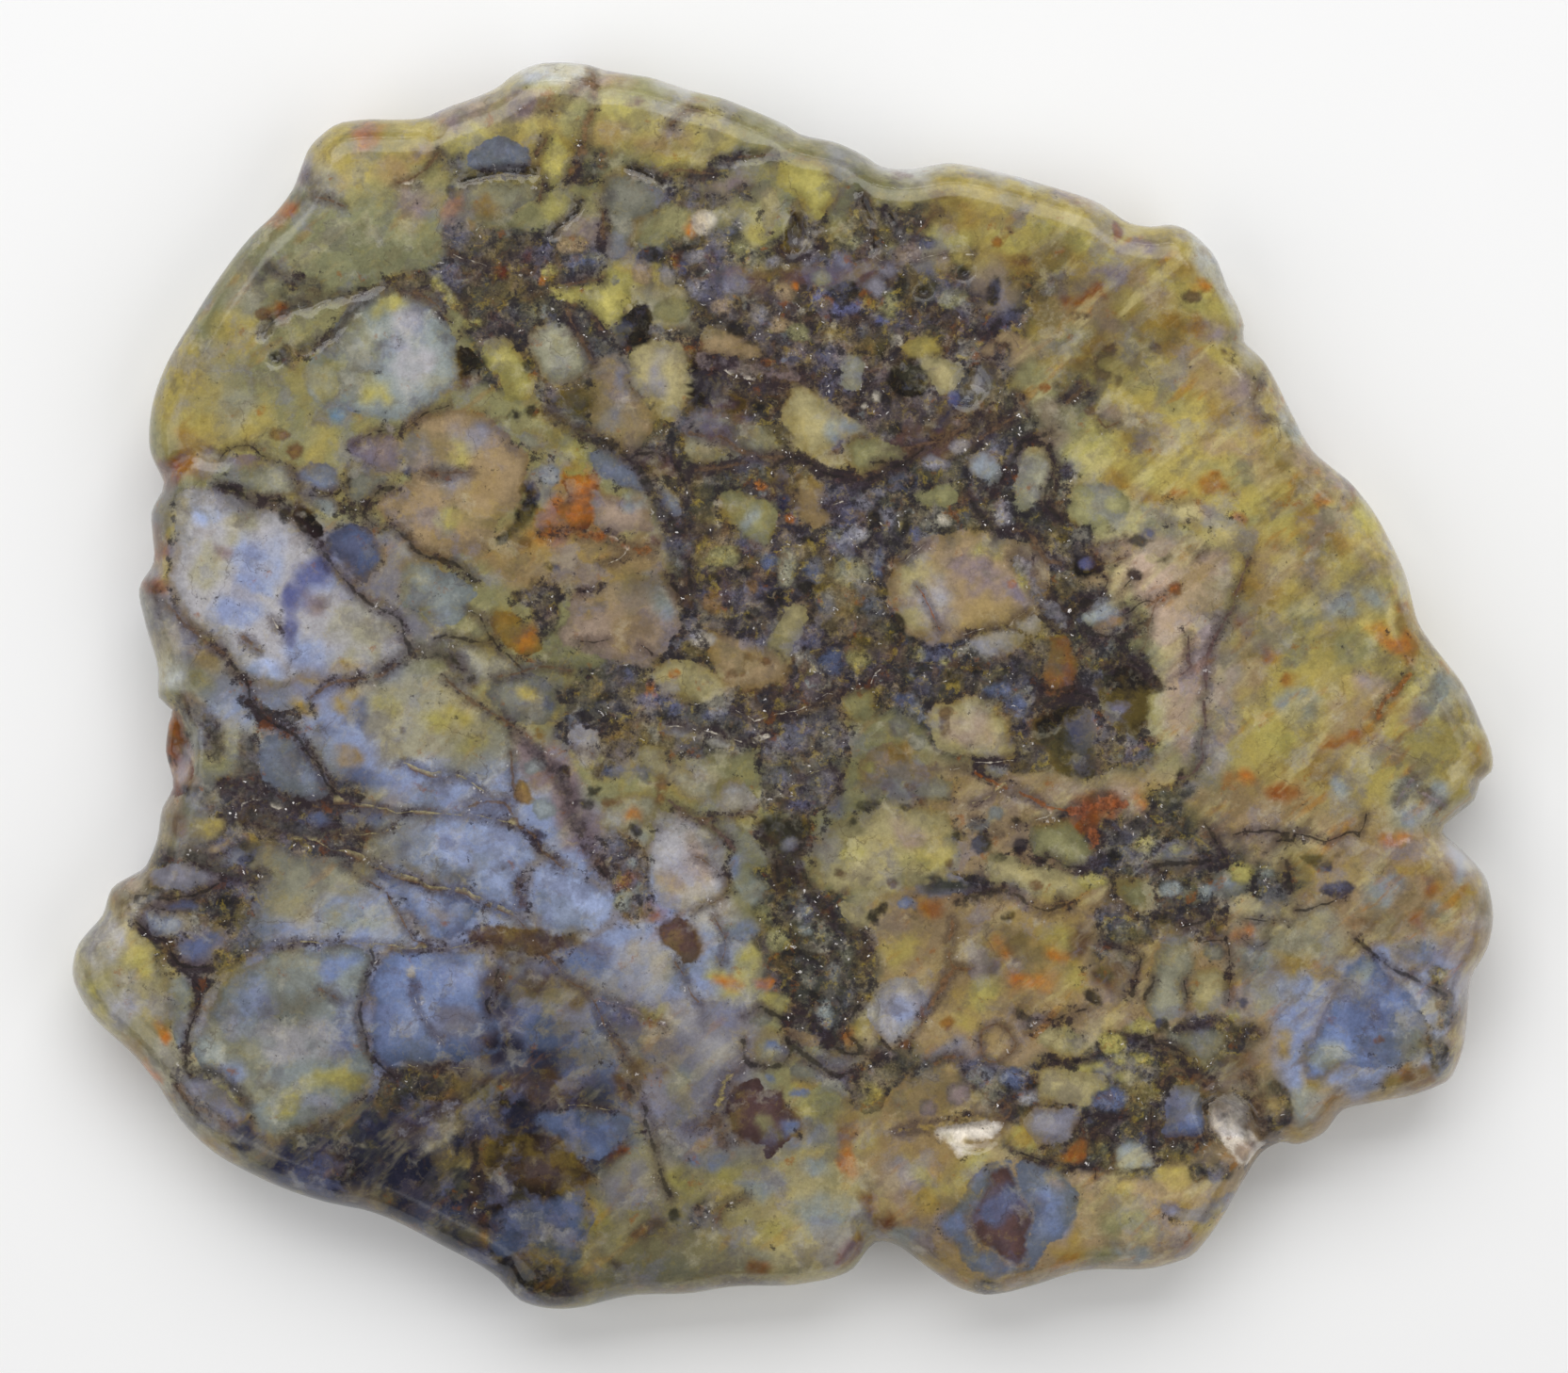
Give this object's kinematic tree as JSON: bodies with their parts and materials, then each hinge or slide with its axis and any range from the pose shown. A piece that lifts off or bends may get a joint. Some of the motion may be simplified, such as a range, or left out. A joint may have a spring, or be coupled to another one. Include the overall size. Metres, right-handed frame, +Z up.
{
  "type": "dinosaur coprolite",
  "caption": "Polished slab of agatised dinosaur coprolite, flat on both faces, with a rounded irregular rim, cracks and small vugs.",
  "frame": {"origin": "middle of the outline's box, on the flat underside", "axes": "+Z up out of the polished upper face, +X along the longest side, +Y towards the top of the pictured view"},
  "size_m": [0.0754, 0.0662, 0.006],
  "materials": {
    "polished_agate": "tumble-polished agatised coprolite: mustard, tan and lilac-blue chalcedony in a dark matrix"
  },
  "bodies": {
    "root": {"coprolite_slab": "polished_agate"}
  },
  "joints": []
}
